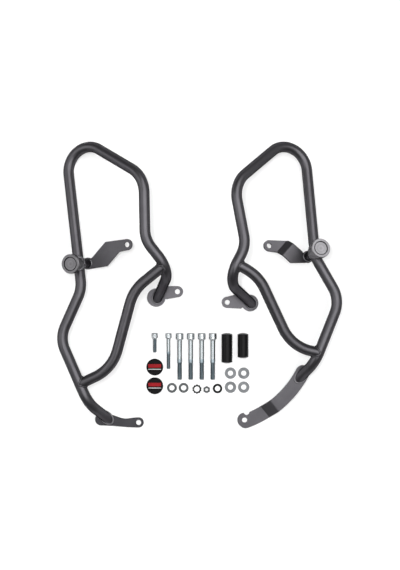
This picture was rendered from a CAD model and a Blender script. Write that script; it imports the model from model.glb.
"""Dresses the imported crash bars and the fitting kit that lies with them.

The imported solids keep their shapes. This script adds the weld beads, the threaded screws and
nut and the bands of the boss caps, gives every piece a procedural finish, and sets up a studio
that looks straight down on the layout. Lengths are metres in the frame of the solids.
"""

import logging
import math
from dataclasses import dataclass
from enum import Enum

import bpy
import numpy as np
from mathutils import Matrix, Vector
from mathutils.bvhtree import BVHTree


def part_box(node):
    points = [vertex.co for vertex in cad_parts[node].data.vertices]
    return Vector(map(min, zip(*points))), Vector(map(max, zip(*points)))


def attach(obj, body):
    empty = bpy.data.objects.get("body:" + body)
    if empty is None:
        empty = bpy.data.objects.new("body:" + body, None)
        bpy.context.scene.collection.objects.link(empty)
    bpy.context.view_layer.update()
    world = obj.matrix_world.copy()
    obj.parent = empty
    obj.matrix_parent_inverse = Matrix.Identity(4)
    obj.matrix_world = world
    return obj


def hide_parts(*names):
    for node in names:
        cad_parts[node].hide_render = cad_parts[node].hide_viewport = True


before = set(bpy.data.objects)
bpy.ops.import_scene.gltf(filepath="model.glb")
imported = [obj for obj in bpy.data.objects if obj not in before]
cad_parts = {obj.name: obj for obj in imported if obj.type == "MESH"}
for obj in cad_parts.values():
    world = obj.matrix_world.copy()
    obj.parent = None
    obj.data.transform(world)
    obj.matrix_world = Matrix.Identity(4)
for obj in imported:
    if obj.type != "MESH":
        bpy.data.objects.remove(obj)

LOG = logging.getLogger("crash_bars")
Colour = tuple[float, float, float]
Point = tuple[float, float, float]

MM = 0.001
TURN = 2 * math.pi
TINY = 1e-6
BODY = "root"

TUBE_RADIUS = 11.0 * MM
PLATE_THICKNESS = 5.0 * MM


class Slot(Enum):
    """Material slots of the record that the pieces take their finishes from."""

    COAT = "powder_coat"
    BOLT = "zinc_bolt"
    WASHER = "zinc_washer"
    BLACK = "black_steel"
    CAP = "cap_plastic"


class Pattern(Enum):
    """Fine surface patterns that a finish can carry."""

    PEEL = "peel"
    HAIRLINE = "hairline"
    TURNED = "turned"


def unit(vectors: np.ndarray) -> np.ndarray:
    """Vectors divided by their own lengths, along the last axis."""
    return vectors / np.linalg.norm(vectors, axis=-1, keepdims=True)


def across(direction: np.ndarray) -> tuple[np.ndarray, np.ndarray]:
    """Two unit vectors that make a right-handed set with a unit direction.

    Args:
        direction: Unit vector.

    Returns:
        First and second vector, with first x second along the direction.
    """
    aid = np.eye(3)[np.argmin(np.abs(direction))]
    first = unit(np.cross(direction, aid))
    return first, np.cross(direction, first)


def angles(count: int) -> np.ndarray:
    """Equal steps round a full turn, without its end."""
    return np.arange(count) * (TURN / count)


def ring_of(middle: np.ndarray, direction: np.ndarray, radius: float, count: int) -> np.ndarray:
    """Circle of points square to a direction.

    Args:
        middle: Centre of the circle.
        direction: Unit vector along the circle's axis.
        radius: Radius of the circle.
        count: Number of points.

    Returns:
        Array of count points, anticlockwise about the direction.
    """
    first, second = across(direction)
    turn = angles(count)[:, None]
    return middle + radius * (np.cos(turn) * first + np.sin(turn) * second)


class Shell:
    """Closed surfaces over grids of points, gathered for one mesh."""

    def __init__(self) -> None:
        """Starts with no points and no faces."""
        self.points: list[np.ndarray] = []
        self.faces: list[list[int]] = []
        self.count = 0

    def _store(self, points: np.ndarray) -> np.ndarray:
        """Adds points and returns their numbers, laid out as the points are."""
        index = self.count + np.arange(points.size // 3).reshape(points.shape[:-1])
        self.points.append(points.reshape(-1, 3))
        self.count += index.size
        return index

    def _quads(self, index: np.ndarray, ring: bool) -> None:
        """Joins each row of an index grid to the next one, with columns that close."""
        upper = np.roll(index, -1, axis=0) if ring else index[1:]
        lower = index if ring else index[:-1]
        corners = [lower, np.roll(lower, -1, axis=1), np.roll(upper, -1, axis=1), upper]
        self.faces += np.stack(corners, axis=-1).reshape(-1, 4).tolist()

    def add_ring(self, grid: np.ndarray) -> None:
        """Adds a surface whose rows and columns both close, as on a torus.

        Args:
            grid: Points as rows x columns x 3.
        """
        self._quads(self._store(grid), ring=True)

    def add_capped(self, grid: np.ndarray) -> None:
        """Adds a surface whose columns close and whose end rows are closed by fans.

        Args:
            grid: Points as rows x columns x 3, with rows running from the start to the end.
        """
        index = self._store(grid)
        self._quads(index, ring=False)
        poles = self._store(grid[[0, -1]].mean(axis=1))
        start, end = (np.full(grid.shape[1], pole) for pole in poles)
        self.faces += np.stack([np.roll(index[0], -1), index[0], start], axis=-1).tolist()
        self.faces += np.stack([index[-1], np.roll(index[-1], -1), end], axis=-1).tolist()

    def piece(self, name: str, crease: float) -> bpy.types.Object:
        """Makes the mesh object, smooth apart from edges sharper than an angle.

        Args:
            name: Name of the new piece.
            crease: Angle in degrees past which faces stay creased.

        Returns:
            The object, linked to the scene, at the origin.
        """
        mesh = bpy.data.meshes.new(name)
        mesh.from_pydata(np.vstack(self.points).tolist(), [], self.faces)
        mesh.shade_smooth()
        mesh.set_sharp_from_angle(angle=math.radians(crease))
        mesh.update()
        thing = bpy.data.objects.new(name, mesh)
        bpy.context.scene.collection.objects.link(thing)
        return thing


def settle(piece: bpy.types.Object, slot: Slot, finish: bpy.types.Material, *nodes: str) -> None:
    """Gives a new piece its finish, its body and the solids that it stands for.

    Args:
        piece: New mesh object.
        slot: Material slot of the record.
        finish: Material of the piece.
        *nodes: Solids that the piece replaces, if any.
    """
    piece.data.materials.append(finish)
    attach(piece, BODY)
    if nodes:
        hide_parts(*nodes)
    LOG.info("%s: %d faces", piece.name, len(piece.data.polygons))


class Board:
    """Adds and links nodes in one node tree."""

    def __init__(self, tree: bpy.types.NodeTree) -> None:
        """Holds the tree that the nodes go into."""
        self.tree = tree

    def add(self, kind: str, values: dict | None = None, **settings: object) -> bpy.types.Node:
        """Adds a node.

        Args:
            kind: Type name of the node.
            values: Default values by input name or number.
            **settings: Attributes of the node.

        Returns:
            The new node.
        """
        node = self.tree.nodes.new(kind)
        for key, value in settings.items():
            setattr(node, key, value)
        for key, value in (values or {}).items():
            node.inputs[key].default_value = value
        return node

    def link(self, start: bpy.types.NodeSocket, end: bpy.types.NodeSocket) -> None:
        """Joins an output to an input."""
        self.tree.links.new(start, end)

    def math(self, operation: str, *terms: object) -> bpy.types.NodeSocket:
        """Adds a Math node.

        Args:
            operation: Blender's name of the operation.
            *terms: Sockets or numbers for its inputs.

        Returns:
            The node's output.
        """
        node = self.add("ShaderNodeMath", operation=operation)
        for place, term in enumerate(terms):
            if isinstance(term, bpy.types.NodeSocket):
                self.link(term, node.inputs[place])
            else:
                node.inputs[place].default_value = term
        return node.outputs[0]


class EffectGroup:
    """A shared surface effect: a node group that puts out a Height and a Mottle."""

    def __init__(self, name: str, inputs: dict[str, float]) -> None:
        """Makes the group and its sockets.

        Args:
            name: Name of the group.
            inputs: Value inputs with their defaults, beside the Vector input.
        """
        self.tree = bpy.data.node_groups.new(name, "ShaderNodeTree")
        sockets = self.tree.interface
        sockets.new_socket("Vector", in_out="INPUT", socket_type="NodeSocketVector")
        for key, value in inputs.items():
            socket = sockets.new_socket(key, in_out="INPUT", socket_type="NodeSocketFloat")
            socket.default_value = value
        for key in ("Height", "Mottle"):
            sockets.new_socket(key, in_out="OUTPUT", socket_type="NodeSocketFloat")
        self.board = Board(self.tree)
        self.start = self.board.add("NodeGroupInput").outputs
        self.end = self.board.add("NodeGroupOutput").inputs

    def noise(
        self,
        vector: bpy.types.NodeSocket,
        scale: bpy.types.NodeSocket,
        detail: float,
        roughness: float = 0.5,
    ) -> bpy.types.NodeSocket:
        """Adds a noise texture.

        Args:
            vector: Place at which the noise is read.
            scale: Scale of the noise.
            detail: Number of finer layers on it.
            roughness: Share of each finer layer.

        Returns:
            The noise, around 0.5.
        """
        node = self.board.add("ShaderNodeTexNoise", {"Detail": detail, "Roughness": roughness})
        self.board.link(vector, node.inputs["Vector"])
        self.board.link(scale, node.inputs["Scale"])
        return node.outputs["Fac"]

    def spread(
        self,
        value: bpy.types.NodeSocket,
        low: float,
        high: float,
        least: float = 0.0,
    ) -> bpy.types.NodeSocket:
        """Stretches the middle of a noise, so that it reaches 1.

        Args:
            value: The noise.
            low: Noise that becomes the least value.
            high: Noise that becomes 1.
            least: Least value.

        Returns:
            The stretched noise.
        """
        span = {"From Min": low, "From Max": high, "To Min": least}
        node = self.board.add("ShaderNodeMapRange", span)
        self.board.link(value, node.inputs["Value"])
        return node.outputs["Result"]


CLOUD_SPAN = (0.3, 0.7)
STAIN_SPAN = (0.32, 0.68)
HAIRLINE_STRETCH = (1.0, 0.06, 1.0)


def peel_effect() -> EffectGroup:
    """Powder coat: Height is a fine orange peel, Mottle a broad cloudy mask from 0 to 1."""
    group = EffectGroup("coat_peel", {"Peel Scale": 700.0, "Mottle Scale": 22.0})
    start = group.start
    peel = group.noise(start["Vector"], start["Peel Scale"], detail=2.0, roughness=0.6)
    group.board.link(peel, group.end["Height"])
    cloud = group.noise(start["Vector"], start["Mottle Scale"], detail=5.0, roughness=0.65)
    group.board.link(group.spread(cloud, *CLOUD_SPAN), group.end["Mottle"])
    return group


def hairline_effect() -> EffectGroup:
    """Plated steel: noise drawn out along Y gives hairlines as Height, soft stains as Mottle."""
    group = EffectGroup("plating_hairlines", {"Line Scale": 900.0, "Mottle Scale": 90.0})
    board = group.board
    start = group.start
    drawn = board.add("ShaderNodeVectorMath", {1: HAIRLINE_STRETCH}, operation="MULTIPLY")
    board.link(start["Vector"], drawn.inputs[0])
    lines = group.noise(drawn.outputs[0], start["Line Scale"], detail=3.0, roughness=0.7)
    board.link(lines, group.end["Height"])
    stain = group.noise(start["Vector"], start["Mottle Scale"], detail=4.0, roughness=0.6)
    board.link(group.spread(stain, *STAIN_SPAN), group.end["Mottle"])
    return group


def turned_effect() -> EffectGroup:
    """Turned metal: Height is fine rings about the vector's Z axis, Mottle is broad rings and stains.

    The rings are noise along the distance from the axis. The mottle is the mean of rings twice as
    broad and of stains, from 0.5 to 1, and it is 0 in a groove about the axis: where the distance
    is within the groove's reach of its radius, above the groove's base.
    """
    scales = {"Line Scale": 1100.0, "Mottle Scale": 60.0}
    groove = {"Groove Radius": 13.5 * MM, "Groove Reach": 1.0 * MM, "Groove Base": 33.0 * MM}
    group = EffectGroup("turned_lines", {**scales, **groove})
    board = group.board
    start = group.start
    flat = board.add("ShaderNodeVectorMath", {1: (1.0, 1.0, 0.0)}, operation="MULTIPLY")
    board.link(start["Vector"], flat.inputs[0])
    length = board.add("ShaderNodeVectorMath", operation="LENGTH")
    board.link(flat.outputs[0], length.inputs[0])
    distance = length.outputs["Value"]
    path = board.add("ShaderNodeCombineXYZ")
    board.link(distance, path.inputs["X"])
    lines = group.noise(path.outputs[0], start["Line Scale"], detail=2.0, roughness=0.6)
    board.link(lines, group.end["Height"])
    broad = board.math("MULTIPLY", start["Line Scale"], 0.5)
    rings = group.noise(path.outputs[0], broad, detail=1.0)
    stain = group.noise(start["Vector"], start["Mottle Scale"], detail=4.0, roughness=0.6)
    mean = board.math("MULTIPLY", board.math("ADD", rings, stain), 0.5)
    mottle = group.spread(mean, *STAIN_SPAN, least=0.5)
    parts = board.add("ShaderNodeSeparateXYZ")
    board.link(start["Vector"], parts.inputs[0])
    aside = board.math("ABSOLUTE", board.math("SUBTRACT", distance, start["Groove Radius"]))
    within = board.math("LESS_THAN", aside, start["Groove Reach"])
    above = board.math("GREATER_THAN", parts.outputs["Z"], start["Groove Base"])
    clean = board.math("SUBTRACT", 1.0, board.math("MULTIPLY", within, above))
    board.link(board.math("MULTIPLY", mottle, clean), group.end["Mottle"])
    return group


EFFECTS = {
    Pattern.PEEL: peel_effect(),
    Pattern.HAIRLINE: hairline_effect(),
    Pattern.TURNED: turned_effect(),
}
DARK_RIM: Colour = (0.0, 0.0, 0.0)


@dataclass(frozen=True)
class Finish:
    """A procedural finish: two shades mixed by a mottle, with a fine pattern in its relief.

    Attributes:
        name: Name of the material.
        shade: Darker base colour.
        light: Lighter base colour.
        rough: Roughness in the light and in the dark mottle.
        pattern: Fine pattern of the relief.
        relief: Height of the pattern.
        metallic: Share of bare metal.
        specular: Specular level of the surface.
        edge_tint: Specular tint, which a metal shows at its rims.
        middle: Centre of a turned pattern.
        axis: Axis of a turned pattern.
        scales: Scales of the fine pattern and of the mottle, where they differ from the usual.
    """

    name: str
    shade: Colour
    light: Colour
    rough: tuple[float, float]
    pattern: Pattern = Pattern.PEEL
    relief: float = 0.05 * MM
    metallic: float = 0.0
    specular: float = 0.5
    edge_tint: Colour = (1.0, 1.0, 1.0)
    middle: Point = (0.0, 0.0, 0.0)
    axis: Point = (0.0, 0.0, 1.0)
    scales: tuple[float, ...] = ()

    def material(self) -> bpy.types.Material:
        """Builds the material.

        Returns:
            A material on Object coordinates, moved and turned to the finish's own axis.
        """
        material = bpy.data.materials.new(self.name)
        material.use_nodes = True
        board = Board(material.node_tree)
        shader = material.node_tree.nodes["Principled BSDF"]
        shader.inputs["Metallic"].default_value = self.metallic
        shader.inputs["Specular IOR Level"].default_value = self.specular
        shader.inputs["Specular Tint"].default_value = (*self.edge_tint, 1.0)

        place = board.add("ShaderNodeTexCoord")
        turn = Vector(self.axis).to_track_quat("Z", "Y").to_euler()
        centred = board.add("ShaderNodeMapping", vector_type="TEXTURE")
        centred.inputs["Location"].default_value = self.middle
        centred.inputs["Rotation"].default_value = turn
        board.link(place.outputs["Object"], centred.inputs["Vector"])
        effect = board.add("ShaderNodeGroup", node_tree=EFFECTS[self.pattern].tree)
        board.link(centred.outputs[0], effect.inputs["Vector"])
        for number, scale in enumerate(self.scales, start=1):
            effect.inputs[number].default_value = scale

        colour = board.add("ShaderNodeMix", data_type="RGBA")
        colour.inputs["A"].default_value = (*self.shade, 1.0)
        colour.inputs["B"].default_value = (*self.light, 1.0)
        board.link(effect.outputs["Mottle"], colour.inputs["Factor"])
        board.link(colour.outputs["Result"], shader.inputs["Base Color"])
        rough = board.add("ShaderNodeMapRange", {"To Min": self.rough[1], "To Max": self.rough[0]})
        board.link(effect.outputs["Mottle"], rough.inputs["Value"])
        board.link(rough.outputs["Result"], shader.inputs["Roughness"])
        bump = board.add("ShaderNodeBump", {"Strength": 1.0, "Distance": self.relief})
        board.link(effect.outputs["Height"], bump.inputs["Height"])
        board.link(bump.outputs["Normal"], shader.inputs["Normal"])
        return material


@dataclass
class WeldBead:
    """A rippled bead of weld round a joint, carried along a closed path.

    Attributes:
        radius: Radius of the bead.
        ripple: Share by which the ripples swell it.
        pitch: Distance from ripple to ripple.
        sway: Share by which the bead's size wanders round the joint.
        waves: Turns of the two waves by which it wanders.
        lead: Angle in radians by which the second wave is ahead.
        bright: Whether the bead shines more than the tube's coat.
        fewest: Least number of ripples.
        steps: Path points in each ripple.
        sides: Points round the bead.
        crease: Angle in degrees past which faces stay creased.
    """

    radius: float = 2.0 * MM
    ripple: float = 0.10
    pitch: float = 1.9 * MM
    sway: float = 0.05
    waves: tuple[int, int] = (5, 11)
    lead: float = 1.0
    bright: bool = False
    fewest: int = 8
    steps: int = 8
    sides: int = 16
    crease: float = 60.0

    def build(self, name: str, loop: np.ndarray, outward: np.ndarray) -> bpy.types.Object:
        """Carries a circle along the loop, swollen in ripples.

        The path is the loop at equal steps of its length. At each step the circle lies square
        to the path. Its radius is the bead's radius times 1 + ripple x (1 - the square of the
        way through the ripple), so that each ripple laps over the next one like a scale, and
        two slow waves round the joint make it wander.

        Args:
            name: Name of the piece.
            loop: Points of the closed path, anticlockwise about the joined tube.
            outward: Unit vector for each point, away from the tube.

        Returns:
            The new piece.
        """
        closed = np.vstack([loop, loop[:1]])
        sides_out = np.vstack([outward, outward[:1]])
        way = np.concatenate([[0.0], np.cumsum(np.linalg.norm(np.diff(closed, axis=0), axis=1))])
        ripples = max(self.fewest, round(way[-1] / self.pitch))
        share = np.arange(ripples * self.steps) / (ripples * self.steps)
        path, out = (
            np.stack([np.interp(share * way[-1], way, part) for part in track.T], axis=-1)
            for track in (closed, sides_out)
        )
        tangent = unit(np.roll(path, -1, axis=0) - np.roll(path, 1, axis=0))
        first = unit(out - (out * tangent).sum(axis=1, keepdims=True) * tangent)
        second = np.cross(tangent, first)
        lap = 1 - ((ripples * share) % 1.0) ** 2
        slow, quick = (wave * TURN * share for wave in self.waves)
        wander = (np.sin(slow) + np.sin(quick + self.lead)) / 2
        swell = self.radius * (1 + self.ripple * lap + self.sway * wander)
        turn = angles(self.sides)[None, :, None]
        rim = np.cos(turn) * first[:, None] + np.sin(turn) * second[:, None]
        shell = Shell()
        shell.add_ring(path[:, None] + swell[:, None, None] * rim)
        return shell.piece(name, self.crease)


BEADS = {
    "lower_strap": WeldBead(radius=1.5 * MM, bright=True),
    "rear_tab": WeldBead(radius=1.7 * MM, bright=True),
    "sleeve_top": WeldBead(radius=3.2 * MM, ripple=0.16, pitch=2.8 * MM, sway=0.1, bright=True),
    "sleeve_foot": WeldBead(radius=1.5 * MM, bright=True),
    "boss": WeldBead(radius=3.0 * MM, ripple=0.16, pitch=2.8 * MM, sway=0.1, bright=True),
}


@dataclass
class CrashBar:
    """One crash bar: where its tubes, sleeve and boss are joined, and the beads at the joints.

    Attributes:
        side: Name of the bar's side.
        strap_leg: Last two points of the main tube's axis before its strap.
        tab_leg: Last two points of the main tube's axis before its rear tab.
        strap_top: Height of the strap's upper face under the tube.
        brace_top_leg: Two points of the brace's axis, towards its upper end.
        brace_foot_leg: Two points of the brace's axis, towards its lower end.
        boss_run: Two points of the main tube's axis, the knee and the next corner.
        boss_up: Distance of the boss from the knee.
        boss_lean: Lean of the boss's axis as (x, y) for 1 of height.
        boss_tone: Brightness of the boss's coat, as a share of the usual one.
        sleeve_radius: Radius of the sleeve under the boss.
        sleeve_drop: Distance from the tube's axis down to the sleeve's foot.
        neck_radius: Radius of the boss's neck.
        neck_base: Height of the neck's foot over the tube's axis.
        rays: Points of each outline.
    """

    side: str
    strap_leg: tuple[Point, Point]
    tab_leg: tuple[Point, Point]
    strap_top: float
    brace_top_leg: tuple[Point, Point]
    brace_foot_leg: tuple[Point, Point]
    boss_run: tuple[Point, Point]
    boss_up: float
    boss_lean: tuple[float, float]
    boss_tone: float
    sleeve_radius: float = 10.0 * MM
    sleeve_drop: float = 40.0 * MM
    neck_radius: float = 14.2 * MM
    neck_base: float = 3.0 * MM
    rays: int = 96

    @property
    def boss_axis(self) -> np.ndarray:
        """Unit vector up the boss's axis."""
        return unit(np.array([*self.boss_lean, 1.0]))

    @property
    def boss_middle(self) -> np.ndarray:
        """Point where the boss's axis meets the axis of the tube."""
        knee, corner = np.array(self.boss_run)
        return knee + unit(corner - knee) * self.boss_up

    def plate_joint(self, leg: tuple[Point, Point], top: float) -> tuple[np.ndarray, np.ndarray]:
        """Outline of a tube on a level plate: each line of the tube's wall ends at the plate's height.

        Args:
            leg: Two points of the tube's axis, towards the plate.
            top: Height of the plate's upper face.

        Returns:
            Points of the outline and the outward vectors there.
        """
        start, end = np.array(leg)
        down = unit(end - start)
        ring = ring_of(end, -down, TUBE_RADIUS, self.rays)
        outward = unit(ring - end)
        return ring + ((top - ring[:, 2]) / down[2])[:, None] * down, outward

    def tube_joint(self, leg: tuple[Point, Point], radius: float) -> tuple[np.ndarray, np.ndarray]:
        """Outline of a round leg on the main tube: lines of its wall, followed until they meet it.

        The lines start a tube's width before the end of the leg's axis. One that passes the tube
        by takes the tube's nearest point instead.

        Args:
            leg: Two points of the leg's axis, towards the main tube.
            radius: Radius of the leg.

        Returns:
            Points of the outline and the outward vectors there.
        """
        start, end = np.array(leg)
        towards = unit(end - start)
        width = 2.0 * TUBE_RADIUS
        back = end - width * towards
        ring = ring_of(back, -towards, radius, self.rays)
        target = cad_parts[f"{self.side}_main_tube"]
        tree = BVHTree.FromObject(target, bpy.context.evaluated_depsgraph_get())
        hits = [tree.ray_cast(Vector(p), Vector(towards), 2.0 * width)[0] for p in ring]
        near = [tree.find_nearest(Vector(p + width * towards))[0] for p in ring]
        loop = np.array([hit or spare for hit, spare in zip(hits, near)])
        return loop, unit(ring - back)

    def saddle_joint(self) -> tuple[np.ndarray, np.ndarray]:
        """Outline of the boss on the tube: the tube's wall, within the foot and the neck of the boss.

        Across the tube the outline stays where the wall rises to the foot of the neck, and along
        the tube it ends at the neck's side. Its height is that of the tube's wall.

        Returns:
            Points of the outline and the outward vectors there.
        """
        knee, corner = np.array(self.boss_run)
        up = self.boss_axis
        along = unit(corner - knee)
        along = unit(along - (along @ up) * up)
        aside = np.cross(up, along)
        turn = angles(self.rays)
        half = math.sqrt(TUBE_RADIUS ** 2 - self.neck_base ** 2)
        reach = np.minimum(self.neck_radius, half / np.maximum(np.abs(np.sin(turn)), TINY))
        width = reach * np.sin(turn)
        height = np.sqrt(TUBE_RADIUS ** 2 - width ** 2)
        flat = (reach * np.cos(turn))[:, None] * along + width[:, None] * aside
        return self.boss_middle + flat + height[:, None] * up, unit(flat)

    def joints(self) -> dict[str, tuple[np.ndarray, np.ndarray]]:
        """Outlines and outward vectors of all the welded joints, by name."""
        foot = self.boss_middle - self.sleeve_drop * self.boss_axis
        sleeve = (tuple(foot), tuple(self.boss_middle))
        sleeve_ring = ring_of(foot, self.boss_axis, self.sleeve_radius, self.rays)
        return {
            "lower_strap": self.plate_joint(self.strap_leg, self.strap_top),
            "rear_tab": self.plate_joint(self.tab_leg, PLATE_THICKNESS),
            "brace_top": self.tube_joint(self.brace_top_leg, TUBE_RADIUS),
            "brace_foot": self.tube_joint(self.brace_foot_leg, TUBE_RADIUS),
            "sleeve_top": self.tube_joint(sleeve, self.sleeve_radius),
            "sleeve_foot": (sleeve_ring, unit(sleeve_ring - foot)),
            "boss": self.saddle_joint(),
        }

    def weld(self, bright: bpy.types.Material, coat: bpy.types.Material) -> None:
        """Lays a bead on every joint.

        Args:
            bright: Material of the bright beads.
            coat: Material of the other beads.
        """
        for joint, (loop, outward) in self.joints().items():
            bead = BEADS.get(joint, WeldBead())
            finish = bright if bead.bright else coat
            settle(bead.build(f"{self.side}_{joint}_weld", loop, outward), Slot.COAT, finish)


def lift(*points: Point) -> tuple[Point, ...]:
    """Axis points in metres, from millimetres with the height of the tube's underside."""
    return tuple((x * MM, y * MM, z * MM + TUBE_RADIUS) for x, y, z in points)


def landing(x: float, y: float, top: float) -> Point:
    """Axis point where a tube lands on a plate, from millimetres and the plate's height."""
    return (x * MM, y * MM, top)


STRAP_RISE = 17.0 * MM

LEFT_BAR = CrashBar(
    side="left",
    strap_leg=(*lift((-231.5, -245.0, 39.0)), landing(-197.0, -279.5, PLATE_THICKNESS)),
    tab_leg=(*lift((-61.5, 29.5, 93.0)), landing(-89.0, -26.5, PLATE_THICKNESS)),
    strap_top=PLATE_THICKNESS,
    brace_top_leg=lift((-135.5, -10.5, 77.0), (-75.0, 38.0, 88.0)),
    brace_foot_leg=lift((-180.3, -172.2, 53.0), (-248.7, -204.9, 40.5)),
    boss_run=lift((-244.0, -8.5, 49.0), (-289.3, 331.9, -17.61)),
    boss_up=54.0 * MM,
    boss_lean=(-0.375, -0.03),
    boss_tone=0.8,
)
RIGHT_BAR = CrashBar(
    side="right",
    strap_leg=(*lift((238.5, -158.5, 43.0)), landing(212.5, -191.0, STRAP_RISE)),
    tab_leg=(*lift((55.5, 8.0, 93.0)), landing(107.0, -37.5, PLATE_THICKNESS)),
    strap_top=STRAP_RISE,
    brace_top_leg=lift((119.5, 17.5, 81.0), (77.0, 41.5, 90.0)),
    brace_foot_leg=lift((187.8, -126.2, 55.0), (245.9, -139.9, 43.0)),
    boss_run=lift((238.0, 58.0, 41.0), (217.7, 337.5, -17.972)),
    boss_up=10.0 * MM,
    boss_lean=(0.255, 0.21),
    boss_tone=1.22,
)
BARS = (LEFT_BAR, RIGHT_BAR)


# Sizes of a 60 degree thread, for 1 of its pitch.
ROOT_FLAT = 0.25
CREST_FLAT = 0.125
SCREW_THREAD_DEPTH = 0.6134
NUT_THREAD_DEPTH = 0.54


def hexagon(flats: float, turn: np.ndarray) -> np.ndarray:
    """Distance from the middle of a hexagon to its side, at each angle."""
    return flats / 2 / np.cos((turn + TURN / 12) % (TURN / 6) - TURN / 12)


def thread_height(phase: np.ndarray) -> np.ndarray:
    """Height of a thread from root 0 to crest 1, flat at both, over one pitch."""
    away = np.abs(2 * (phase % 1.0) - 1)
    foot = 1 - ROOT_FLAT
    return np.clip((foot - away) / (foot - CREST_FLAT), 0.0, 1.0)


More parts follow.
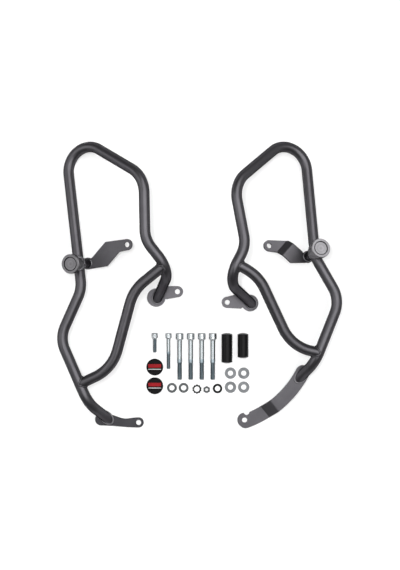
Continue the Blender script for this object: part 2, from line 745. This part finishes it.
@dataclass
class CapScrew:
    """A socket cap screw that lies on the rim of its head and the end of its shank.

    Attributes:
        name: Name of the piece.
        node: Solid that the screw stands for.
        x: Place of the screw across the row.
        top: Place of the head's rim along the row.
        size: Thread diameter.
        length: Length under the head.
        head: Diameter of the head.
        socket: Width of the socket across its flats.
        pitch: Pitch of the thread.
        threaded: Length of the thread.
        head_share: Height of the head for 1 of the thread's diameter.
        neck: Length of the neck under the head.
        neck_start: Radius at which the neck starts, for 1 of the shank's.
        neck_fit: Radius of the neck's lower edge, for 1 of the shank's.
        edge: Bevel of the head's lower edge.
        rounding: Radius of the head's upper edge.
        point: Bevel of the shank's tip.
        runout: Pitches over which the thread fades out.
        ridges: Number of ridges round the head.
        ridge_depth: Depth of the dips between them.
        ridge_foot: Height at which they start.
        ridge_top: Distance from the head's top at which they end.
        ridge_points: Points round each ridge.
        round_rows: Rows of points over the head's upper edge.
        lip: Bevel of the socket's mouth.
        socket_depth: Depth of the socket, as a share of the head's height.
        socket_cone: Depth of the cone at its bottom, for 1 of its width.
        socket_tip: Width of the cone's flat, for 1 of the socket's width.
        sides: Points round the shank.
        pitch_steps: Rows of points in each pitch.
        plain_rows: Rows of points over the plain shank.
        crease: Angle in degrees past which faces stay creased.
    """

    name: str
    node: str
    x: float
    top: float
    size: float
    length: float
    head: float
    socket: float
    pitch: float
    threaded: float
    head_share: float = 1.28
    neck: float = 2.0 * MM
    neck_start: float = 0.9
    neck_fit: float = 1.002
    edge: float = 0.8 * MM
    rounding: float = 1.12 * MM
    point: float = 1.0 * MM
    runout: float = 1.5
    ridges: int = 48
    ridge_depth: float = 0.22 * MM
    ridge_foot: float = 0.96 * MM
    ridge_top: float = 1.76 * MM
    ridge_points: int = 3
    round_rows: int = 5
    lip: float = 0.3 * MM
    socket_depth: float = 0.55
    socket_cone: float = 0.2
    socket_tip: float = 0.25
    sides: int = 48
    pitch_steps: int = 10
    plain_rows: int = 7
    crease: float = 32.0

    @property
    def lean(self) -> float:
        """Angle of the axis over the floor."""
        return math.atan2(self.head - self.size, 2 * self.length)

    @property
    def tall(self) -> float:
        """Height of the head."""
        return self.size * self.head_share

    @property
    def thread_rows(self) -> int:
        """Rows of points over the thread."""
        return round(self.threaded / self.pitch) * self.pitch_steps

    def place(self, radius: np.ndarray, turn: np.ndarray, along: np.ndarray) -> np.ndarray:
        """Puts a surface in screw coordinates where the screw lies.

        Args:
            radius: Distance from the axis, rows x columns.
            turn: Angle round the axis, rows x columns.
            along: Distance up the axis from under the head, rows x columns.

        Returns:
            Points, rows x columns x 3.
        """
        rise = np.array([0.0, math.cos(self.lean), math.sin(self.lean)])
        aside = np.array([1.0, 0.0, 0.0])
        above = np.cross(rise, aside)
        collar = np.array([self.x, self.top, self.head / 2 * math.cos(self.lean)])
        collar[1] -= self.tall * math.cos(self.lean)
        flat = np.cos(turn)[..., None] * aside + np.sin(turn)[..., None] * above
        return collar + radius[..., None] * flat + along[..., None] * rise

    def shank(self) -> np.ndarray:
        """Shank as rows of circles, cut by a helical thread that fades out at its upper end.

        The radius is the thread's root plus its depth times the thread's height, whose phase is
        the way along over the pitch less the turn. A cone takes off the tip's edge.

        Returns:
            Points, rows x columns x 3.
        """
        thread_end = self.threaded - self.length
        screwed = np.linspace(-self.length, thread_end, self.thread_rows)
        plain = np.linspace(thread_end, -self.neck / 2, self.plain_rows + 1)[1:]
        rows = np.concatenate([screwed, plain])
        along, turn = np.meshgrid(rows, angles(self.sides), indexing="ij")
        depth = SCREW_THREAD_DEPTH * self.pitch
        fade = np.clip((thread_end - along) / (self.runout * self.pitch), 0.0, 1.0)
        cut = fade * (1 - thread_height(along / self.pitch - turn / TURN))
        cone = self.size / 2 - self.point + (along + self.length)
        return self.place(np.minimum(self.size / 2 - depth * cut, cone), turn, along)

    def cap(self) -> np.ndarray:
        """Head as rows of circles: a neck, a ridged side, a round edge and a hexagon socket.

        The neck starts inside the shank and is a hair wider than it. The side's radius dips by
        the ridge depth, as a cosine of the turn. The upper edge is a quarter circle. Inside the
        socket the radius is that of a hexagon, down to a cone.

        Returns:
            Points, rows x columns x 3.
        """
        radius = self.head / 2
        core = self.size / 2
        tall = self.tall
        floor = tall * (1 - self.socket_depth)
        neck_r = [core * self.neck_start, core * self.neck_fit]
        foot_r = np.array([*neck_r, radius - self.edge, radius])
        foot_z = np.array([-self.neck, -self.neck, 0.0, self.edge])
        ridge_rows = np.array([0.0, 1.0, 1.0, 0.0])
        side_z = np.linspace(self.ridge_foot, tall - self.ridge_top, len(ridge_rows))
        bend = np.linspace(0.0, TURN / 4, self.round_rows)
        round_r = radius - self.rounding * (1 - np.cos(bend))
        round_z = tall - self.rounding * (1 - np.sin(bend))
        outer_r = np.concatenate([foot_r, np.full_like(side_z, radius), round_r])
        outer_z = np.concatenate([foot_z, side_z, round_z])
        ridged = np.concatenate([np.zeros_like(foot_z), ridge_rows, np.zeros_like(bend)])
        turn = angles(self.ridge_points * self.ridges)
        dip = self.ridge_depth * (0.5 - 0.5 * np.cos(self.ridges * turn))
        outer = outer_r[:, None] - ridged[:, None] * dip
        hexes = hexagon(self.socket, turn)
        inner = np.stack([hexes + self.lip, hexes, hexes, hexes * self.socket_tip])
        cone_z = floor - self.socket * self.socket_cone
        inner_z = np.array([tall, tall - self.lip, floor, cone_z])
        rows = np.concatenate([outer, inner])
        along = np.concatenate([outer_z, inner_z])[:, None] + np.zeros_like(rows)
        return self.place(rows, turn[None] + np.zeros_like(rows), along)

    def build(
        self,
        head: bpy.types.Material,
        shank: bpy.types.Material,
        thread: bpy.types.Material,
    ) -> None:
        """Makes the screw from its shank and its head, and dresses its three zones.

        The faces of the shank come first, row by row from the tip, so the thread is the first
        run of faces and the plain shank the next.

        Args:
            head: Material of the head.
            shank: Material of the plain shank.
            thread: Material of the thread.
        """
        shell = Shell()
        shell.add_capped(self.shank())
        shell.add_capped(self.cap())
        piece = shell.piece(self.name, self.crease)
        settle(piece, Slot.BOLT, head, self.node)
        piece.data.materials.append(shank)
        piece.data.materials.append(thread)
        zone = np.zeros(len(piece.data.polygons), dtype=np.int32)
        zone[: (self.thread_rows + self.plain_rows) * self.sides] = 1
        zone[: self.thread_rows * self.sides] = 2
        piece.data.polygons.foreach_set("material_index", zone)


@dataclass
class HexNut:
    """A hexagon nut with chamfered corners and a threaded bore.

    Attributes:
        node: Solid that the nut stands for.
        size: Thread diameter.
        pitch: Pitch of the thread.
        flats: Width across the flats.
        face: Width of each face's flat circle, for 1 of the width across the flats.
        bevel: Angle in degrees of the cone that takes off the corners.
        opening: Width of the bore at the thread's root, for 1 of the thread's diameter.
        sides: Points round the nut.
        pitch_steps: Rows of points in each pitch.
        crease: Angle in degrees past which faces stay creased.
    """

    node: str = "hex_nut"
    size: float = 8.0 * MM
    pitch: float = 1.25 * MM
    flats: float = 13.0 * MM
    face: float = 0.96
    bevel: float = 30.0
    opening: float = 1.01
    sides: int = 96
    pitch_steps: int = 10
    crease: float = 25.0

    def build(self, finish: bpy.types.Material) -> None:
        """Makes the nut as one closed band: foot, sides, top and bore.

        The sides follow the hexagon or, near the faces, the bevel's cone, whichever is nearer the
        axis. The bore's radius is the root's less the thread's height, opened by a cone at each end.

        Args:
            finish: Material of the nut.
        """
        low, high = (np.array(corner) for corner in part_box(self.node))
        middle = (low + high) / 2
        tall = high[2] - low[2]
        turn = angles(self.sides)
        rows = np.array([0.0, 0.15, 0.35, 0.6, 0.9, 1.2]) * MM
        side_z = np.concatenate([rows, tall - rows[::-1]])
        from_face = np.minimum(side_z, tall - side_z)
        cone = self.flats / 2 * self.face + from_face / math.tan(math.radians(self.bevel))
        side = np.minimum(hexagon(self.flats, turn)[None], cone[:, None])
        bore_z = np.linspace(tall, 0.0, round(tall / self.pitch) * self.pitch_steps)
        depth = NUT_THREAD_DEPTH * self.pitch
        root = self.size / 2 * self.opening
        shape = root - depth * thread_height(bore_z[:, None] / self.pitch - turn[None] / TURN)
        mouth = root - np.minimum(bore_z, tall - bore_z)
        bore = np.maximum(shape, mouth[:, None])
        radius = np.concatenate([side, bore])
        along = low[2] + np.concatenate([side_z, bore_z])[:, None] + np.zeros_like(radius)
        across_x = middle[0] + radius * np.cos(turn)
        across_y = middle[1] + radius * np.sin(turn)
        shell = Shell()
        shell.add_ring(np.stack([across_x, across_y, along], axis=-1))
        settle(shell.piece("threaded_hex_nut", self.crease), Slot.WASHER, finish, self.node)


@dataclass
class CapBand:
    """A flat enamel band let into the lid of a boss cap.

    Attributes:
        name: Name of the band, after its side.
        height: Size of the band up the cap.
        up: Distance of the band over the cap's middle.
        width: Size of the band across the cap.
        depth: Depth of the band's foot under the cap's face.
        below: Depth of the band's own face under the cap's face.
        corner: Radius of the band's corners.
        ease: Bevel of the band's upper edge.
        corner_steps: Points of each corner.
        crease: Angle in degrees past which faces stay creased.
    """

    name: str
    height: float
    up: float
    width: float = 26.9 * MM
    depth: float = 0.5 * MM
    below: float = 0.08 * MM
    corner: float = 0.75 * MM
    ease: float = 0.12 * MM
    corner_steps: int = 9
    crease: float = 30.0

    def outline(self, inset: float) -> np.ndarray:
        """Rounded rectangle: a quarter circle about each corner's centre, anticlockwise.

        Args:
            inset: Distance by which the outline is drawn in.

        Returns:
            Points as count x 2 from the middle of the band.
        """
        quarter = np.arange(4).repeat(self.corner_steps)
        sweep = np.tile(np.linspace(0.0, TURN / 4, self.corner_steps), 4) + quarter * TURN / 4
        side = np.array([[1, 1], [-1, 1], [-1, -1], [1, -1]])[quarter]
        centre = side * (np.array([self.width, self.height]) / 2 - self.corner)
        return centre + (self.corner - inset) * np.stack([np.cos(sweep), np.sin(sweep)], axis=-1)

    def build(self, side: str, finish: bpy.types.Material) -> None:
        """Raises the outline from the foot of its groove to an eased face.

        Args:
            side: Side whose cap carries the band.
            finish: Material of the band.
        """
        low, high = (np.array(corner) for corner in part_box(f"{side}_boss_cap"))
        middle = (low + high) / 2 + np.array([0.0, self.up, 0.0])
        face = high[2] - self.below
        heights = np.array([high[2] - self.depth, face - self.ease, face])
        flat = np.stack([self.outline(inset) for inset in (0.0, 0.0, self.ease)]) + middle[:2]
        rise = heights[:, None, None] + np.zeros((*flat.shape[:2], 1))
        shell = Shell()
        shell.add_capped(np.concatenate([flat, rise], axis=-1))
        settle(shell.piece(f"{side}_cap_{self.name}", self.crease), Slot.CAP, finish)


COAT = Finish(
    "anthracite_powder_coat",
    (0.089, 0.086, 0.094),
    (0.104, 0.101, 0.109),
    (0.34, 0.40),
    metallic=0.95,
    edge_tint=DARK_RIM,
)
PLATE_COAT = Finish(
    "matt_plate_coat",
    (0.085, 0.082, 0.090),
    (0.098, 0.095, 0.103),
    (0.46, 0.52),
    metallic=0.9,
    edge_tint=DARK_RIM,
)
STRAP_COAT = Finish(
    "dark_strap_coat",
    (0.044, 0.043, 0.047),
    (0.055, 0.054, 0.059),
    (0.46, 0.52),
    metallic=0.9,
    edge_tint=DARK_RIM,
)
BRACKET_COAT = Finish(
    "satin_bracket_coat",
    (0.092, 0.089, 0.097),
    (0.106, 0.103, 0.111),
    (0.42, 0.48),
    metallic=0.55,
    edge_tint=DARK_RIM,
)
WELD_COAT = Finish(
    "smooth_weld_coat",
    (0.170, 0.166, 0.178),
    (0.210, 0.206, 0.218),
    (0.28, 0.34),
    relief=0.02 * MM,
    metallic=0.95,
    edge_tint=DARK_RIM,
)
ZINC_HEAD = Finish(
    "bright_zinc_head",
    (0.440, 0.465, 0.480),
    (0.505, 0.530, 0.545),
    (0.22, 0.28),
    Pattern.HAIRLINE,
    relief=0.002 * MM,
    metallic=1.0,
    edge_tint=(0.1, 0.1, 0.1),
)
ZINC_SHANK = Finish(
    "drawn_zinc_shank",
    (0.345, 0.372, 0.386),
    (0.372, 0.400, 0.414),
    (0.18, 0.22),
    Pattern.HAIRLINE,
    relief=0.001 * MM,
    metallic=1.0,
    edge_tint=DARK_RIM,
)
ZINC_THREAD = Finish(
    "blue_zinc_thread",
    (0.240, 0.295, 0.325),
    (0.280, 0.335, 0.365),
    (0.30, 0.36),
    Pattern.HAIRLINE,
    relief=0.001 * MM,
    metallic=1.0,
    edge_tint=DARK_RIM,
)
ZINC_WASHER = Finish(
    "matt_zinc_plate",
    (0.133, 0.141, 0.148),
    (0.162, 0.170, 0.176),
    (0.42, 0.52),
    Pattern.HAIRLINE,
    relief=0.012 * MM,
    metallic=0.6,
)
DARK_ZINC = Finish(
    "dark_zinc_plate",
    (0.062, 0.067, 0.069),
    (0.082, 0.087, 0.089),
    (0.34, 0.42),
    Pattern.HAIRLINE,
    relief=0.012 * MM,
    metallic=0.8,
    edge_tint=DARK_RIM,
)
BLACK_STEEL = Finish(
    "black_oxide_steel",
    (0.0022, 0.0022, 0.0025),
    (0.0035, 0.0035, 0.0038),
    (0.26, 0.32),
    relief=0.02 * MM,
    specular=0.2,
    edge_tint=(0.6, 0.6, 0.6),
)
CAP_PLASTIC = Finish(
    "gloss_black_plastic",
    (0.0022, 0.0022, 0.0025),
    (0.0035, 0.0035, 0.0038),
    (0.20, 0.26),
    relief=0.008 * MM,
    specular=0.05,
)
RED_ENAMEL = Finish(
    "red_enamel",
    (0.22, 0.008, 0.011),
    (0.27, 0.011, 0.014),
    (0.30, 0.38),
    relief=0.008 * MM,
    specular=0.05,
)
WHITE_ENAMEL = Finish(
    "white_enamel",
    (0.42, 0.42, 0.41),
    (0.50, 0.50, 0.49),
    (0.30, 0.36),
    relief=0.008 * MM,
    specular=0.05,
)


SLOT_FINISHES = {
    Slot.COAT: COAT,
    Slot.BOLT: ZINC_HEAD,
    Slot.WASHER: ZINC_WASHER,
    Slot.BLACK: BLACK_STEEL,
    Slot.CAP: CAP_PLASTIC,
}
OWN_FINISHES = {
    "right_lower_strap": PLATE_COAT,
    "left_lower_strap": STRAP_COAT,
    "left_upper_bracket": BRACKET_COAT,
    "plain_washers": DARK_ZINC,
}


def boss_finish(bar: CrashBar) -> Finish:
    """Lighter coat with turned lines about a bar's boss axis, dark in the boss's groove."""
    return Finish(
        f"{bar.side}_turned_coat",
        tuple(bar.boss_tone * part for part in (0.080, 0.078, 0.083)),
        tuple(bar.boss_tone * part for part in (0.275, 0.270, 0.282)),
        (0.40, 0.56),
        Pattern.TURNED,
        relief=0.09 * MM,
        metallic=0.95,
        edge_tint=DARK_RIM,
        scales=(620.0, 60.0),
        middle=tuple(bar.boss_middle),
        axis=tuple(bar.boss_axis),
    )


@dataclass(frozen=True)
class Lamp:
    """A flat panel of light that faces the middle of the layout.

    Attributes:
        name: Name of the lamp.
        place: Middle of the panel.
        size: Width and height of the panel.
        radiance: Brightness of the panel's face.
        mirrored: Whether glossy surfaces show the panel.
    """

    name: str
    place: Point
    size: tuple[float, float]
    radiance: float
    mirrored: bool = True

    def build(self) -> None:
        """Makes the panel, whose power is its radiance times its area times pi."""
        panel = bpy.data.lights.new(self.name, "AREA")
        panel.shape = "RECTANGLE"
        panel.size, panel.size_y = self.size
        panel.energy = self.radiance * math.pi * self.size[0] * self.size[1]
        lamp = bpy.data.objects.new(self.name, panel)
        lamp.location = self.place
        lamp.rotation_euler = (-Vector(self.place)).to_track_quat("-Z", "Y").to_euler()
        lamp.visible_glossy = self.mirrored
        lamp.visible_camera = False
        bpy.context.scene.collection.objects.link(lamp)


LAMPS = (
    Lamp("overhead_softbox", (1.4, 1.2, 7.0), (8.2, 9.2), 2.75),
    Lamp("shadow_lamp", (-0.2, 0.16, 2.4), (0.12, 0.12), 520.0, mirrored=False),
    Lamp("left_panel", (-6.5, 0.0, 4.6), (6.5, 6.5), 1.4),
    Lamp("right_panel", (6.9, 0.0, 4.2), (6.0, 6.0), 0.4),
)


@dataclass
class Studio:
    """A pale floor, soft lamps and a camera straight above the layout.

    Attributes:
        height: Height of the camera over the floor.
        pixel: Size of one picture element on the floor.
        rows: Picture elements in the height of the picture.
        sensor: Height of the camera's sensor in millimetres.
        sight: Distance to which the camera sees.
        floor_reach: Distance of the floor's edges from the middle.
        floor_drop: Distance of the floor under the layout.
        lit_reach: Distance to which the lamps light the floor.
        dim_reach: Distance from which the floor is white by its lift alone.
        floor_white: Brightness of the floor's own colour.
        floor_lift: Lift of the lit floor.
        world_level: Brightness of the room.
    """

    height: float = 2.4
    pixel: float = 2.114 * MM
    rows: int = 570
    sensor: float = 36.0
    sight: float = 200.0
    floor_reach: float = 120.0
    floor_drop: float = 0.2 * MM
    lit_reach: float = 1.5
    dim_reach: float = 9.0
    floor_white: float = 0.50
    floor_lift: float = 0.45
    world_level: float = 0.12

    def build_camera(self) -> None:
        """Looks straight down, with the picture's upward edge along Y."""
        lens = bpy.data.cameras.new("photo_camera")
        lens.sensor_fit = "VERTICAL"
        lens.sensor_height = self.sensor
        lens.lens = self.sensor * self.height / (self.pixel * self.rows)
        lens.clip_end = self.sight
        camera = bpy.data.objects.new("photo_camera", lens)
        camera.location = (0.0, 0.0, self.height)
        bpy.context.scene.collection.objects.link(camera)
        bpy.context.scene.camera = camera

    def build_floor(self) -> None:
        """Level floor, lifted to white for what sees or mirrors it, with its shadows kept.

        The lift grows with the distance from the middle, as the lamps' light fades.
        """
        corners = np.array([[-1, -1, 0], [1, -1, 0], [1, 1, 0], [-1, 1, 0]]) * self.floor_reach
        corners[:, 2] = -self.floor_drop
        mesh = bpy.data.meshes.new("studio_floor")
        mesh.from_pydata(corners.tolist(), [], [[0, 1, 2, 3]])
        floor = bpy.data.objects.new("studio_floor", mesh)
        bpy.context.scene.collection.objects.link(floor)
        material = bpy.data.materials.new("pale_floor")
        material.use_nodes = True
        board = Board(material.node_tree)
        shader = material.node_tree.nodes["Principled BSDF"]
        shader.inputs["Base Color"].default_value = (self.floor_white,) * 3 + (1.0,)
        shader.inputs["Roughness"].default_value = 1.0
        shader.inputs["Specular IOR Level"].default_value = 0.0
        shader.inputs["Emission Color"].default_value = (1.0, 1.0, 1.0, 1.0)
        ray = board.add("ShaderNodeLightPath").outputs
        seen = board.math("ADD", ray["Is Camera Ray"], ray["Is Glossy Ray"])
        seen = board.math("ADD", seen, ray["Is Transmission Ray"])
        place = board.add("ShaderNodeTexCoord").outputs["Object"]
        away = board.add("ShaderNodeVectorMath", operation="LENGTH")
        board.link(place, away.inputs[0])
        span = {"From Min": self.lit_reach, "From Max": self.dim_reach, "To Min": self.floor_lift}
        lift = board.add("ShaderNodeMapRange", span)
        board.link(away.outputs["Value"], lift.inputs["Value"])
        glow = board.math("MULTIPLY", board.math("MINIMUM", seen, 1.0), lift.outputs["Result"])
        board.link(glow, shader.inputs["Emission Strength"])
        mesh.materials.append(material)

    def build_lights(self) -> None:
        """Lamps of the studio and a dim, even room."""
        for lamp in LAMPS:
            lamp.build()
        world = bpy.data.worlds.new("studio_room")
        world.use_nodes = True
        room = world.node_tree.nodes["Background"]
        room.inputs["Color"].default_value = (1.0, 1.0, 1.0, 1.0)
        room.inputs["Strength"].default_value = self.world_level
        bpy.context.scene.world = world

    def build(self) -> None:
        """Sets up the camera, the floor and the lights."""
        self.build_camera()
        self.build_floor()
        self.build_lights()
        bpy.context.scene.view_settings.view_transform = "Standard"


def dress_solids(
    finishes: dict[Slot, bpy.types.Material],
    own: dict[str, bpy.types.Material],
) -> None:
    """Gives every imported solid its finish.

    Args:
        finishes: Material of each slot.
        own: Materials of the solids that differ from their slot, by node.
    """
    for name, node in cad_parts.items():
        for holder in node.material_slots:
            slot = Slot(holder.material.name.split(".")[0])
            holder.material = own.get(name, finishes[slot])
        LOG.info("%s: dressed", name)


LONG_SCREWS = 4
HEADS_TOP = -101.5 * MM


def screws() -> list[CapScrew]:
    """Returns:
        The short, the medium and the four long screws.
    """
    m8 = {"size": 8.0 * MM, "head": 13.0 * MM, "socket": 6.0 * MM, "pitch": 1.25 * MM}
    m10 = {"size": 10.0 * MM, "head": 16.0 * MM, "socket": 8.0 * MM, "pitch": 1.5 * MM}
    lengths = {
        "short": {"length": 30 * MM, "threaded": 28 * MM},
        "medium": {"length": 65 * MM, "threaded": 32 * MM},
    }
    row = []
    for name, sizes in lengths.items():
        low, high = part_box(f"{name}_bolt")
        place = {"x": (low.x + high.x) / 2, "top": HEADS_TOP}
        row.append(CapScrew(f"{name}_cap_screw", f"{name}_bolt", **place, **sizes, **m8))
    low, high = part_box("long_bolts")
    places = np.linspace(low.x + m10["head"] / 2, high.x - m10["head"] / 2, LONG_SCREWS)
    for number, x in enumerate(places, start=1):
        place = {"x": x, "top": HEADS_TOP}
        sizes = {"length": 85 * MM, "threaded": 36 * MM}
        row.append(CapScrew(f"long_cap_screw_{number}", "long_bolts", **place, **sizes, **m10))
    return row


def main() -> None:
    """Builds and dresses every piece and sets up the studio."""
    logging.basicConfig(level=logging.INFO)
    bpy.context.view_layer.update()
    finishes = {slot: finish.material() for slot, finish in SLOT_FINISHES.items()}
    own = {f"{bar.side}_slider_boss": boss_finish(bar).material() for bar in BARS}
    own |= {node: finish.material() for node, finish in OWN_FINISHES.items()}
    dress_solids(finishes, own)
    weld = WELD_COAT.material()
    for bar in BARS:
        bar.weld(weld, finishes[Slot.COAT])
    shank = ZINC_SHANK.material()
    thread = ZINC_THREAD.material()
    for screw in screws():
        screw.build(finishes[Slot.BOLT], shank, thread)
    HexNut().build(own["plain_washers"])
    red = RED_ENAMEL.material()
    white = WHITE_ENAMEL.material()
    for bar in BARS:
        CapBand("red_band", height=7.5 * MM, up=2.6 * MM).build(bar.side, red)
        CapBand("white_band", height=1.7 * MM, up=-4.6 * MM).build(bar.side, white)
    Studio().build()


if __name__ == "__main__":
    main()
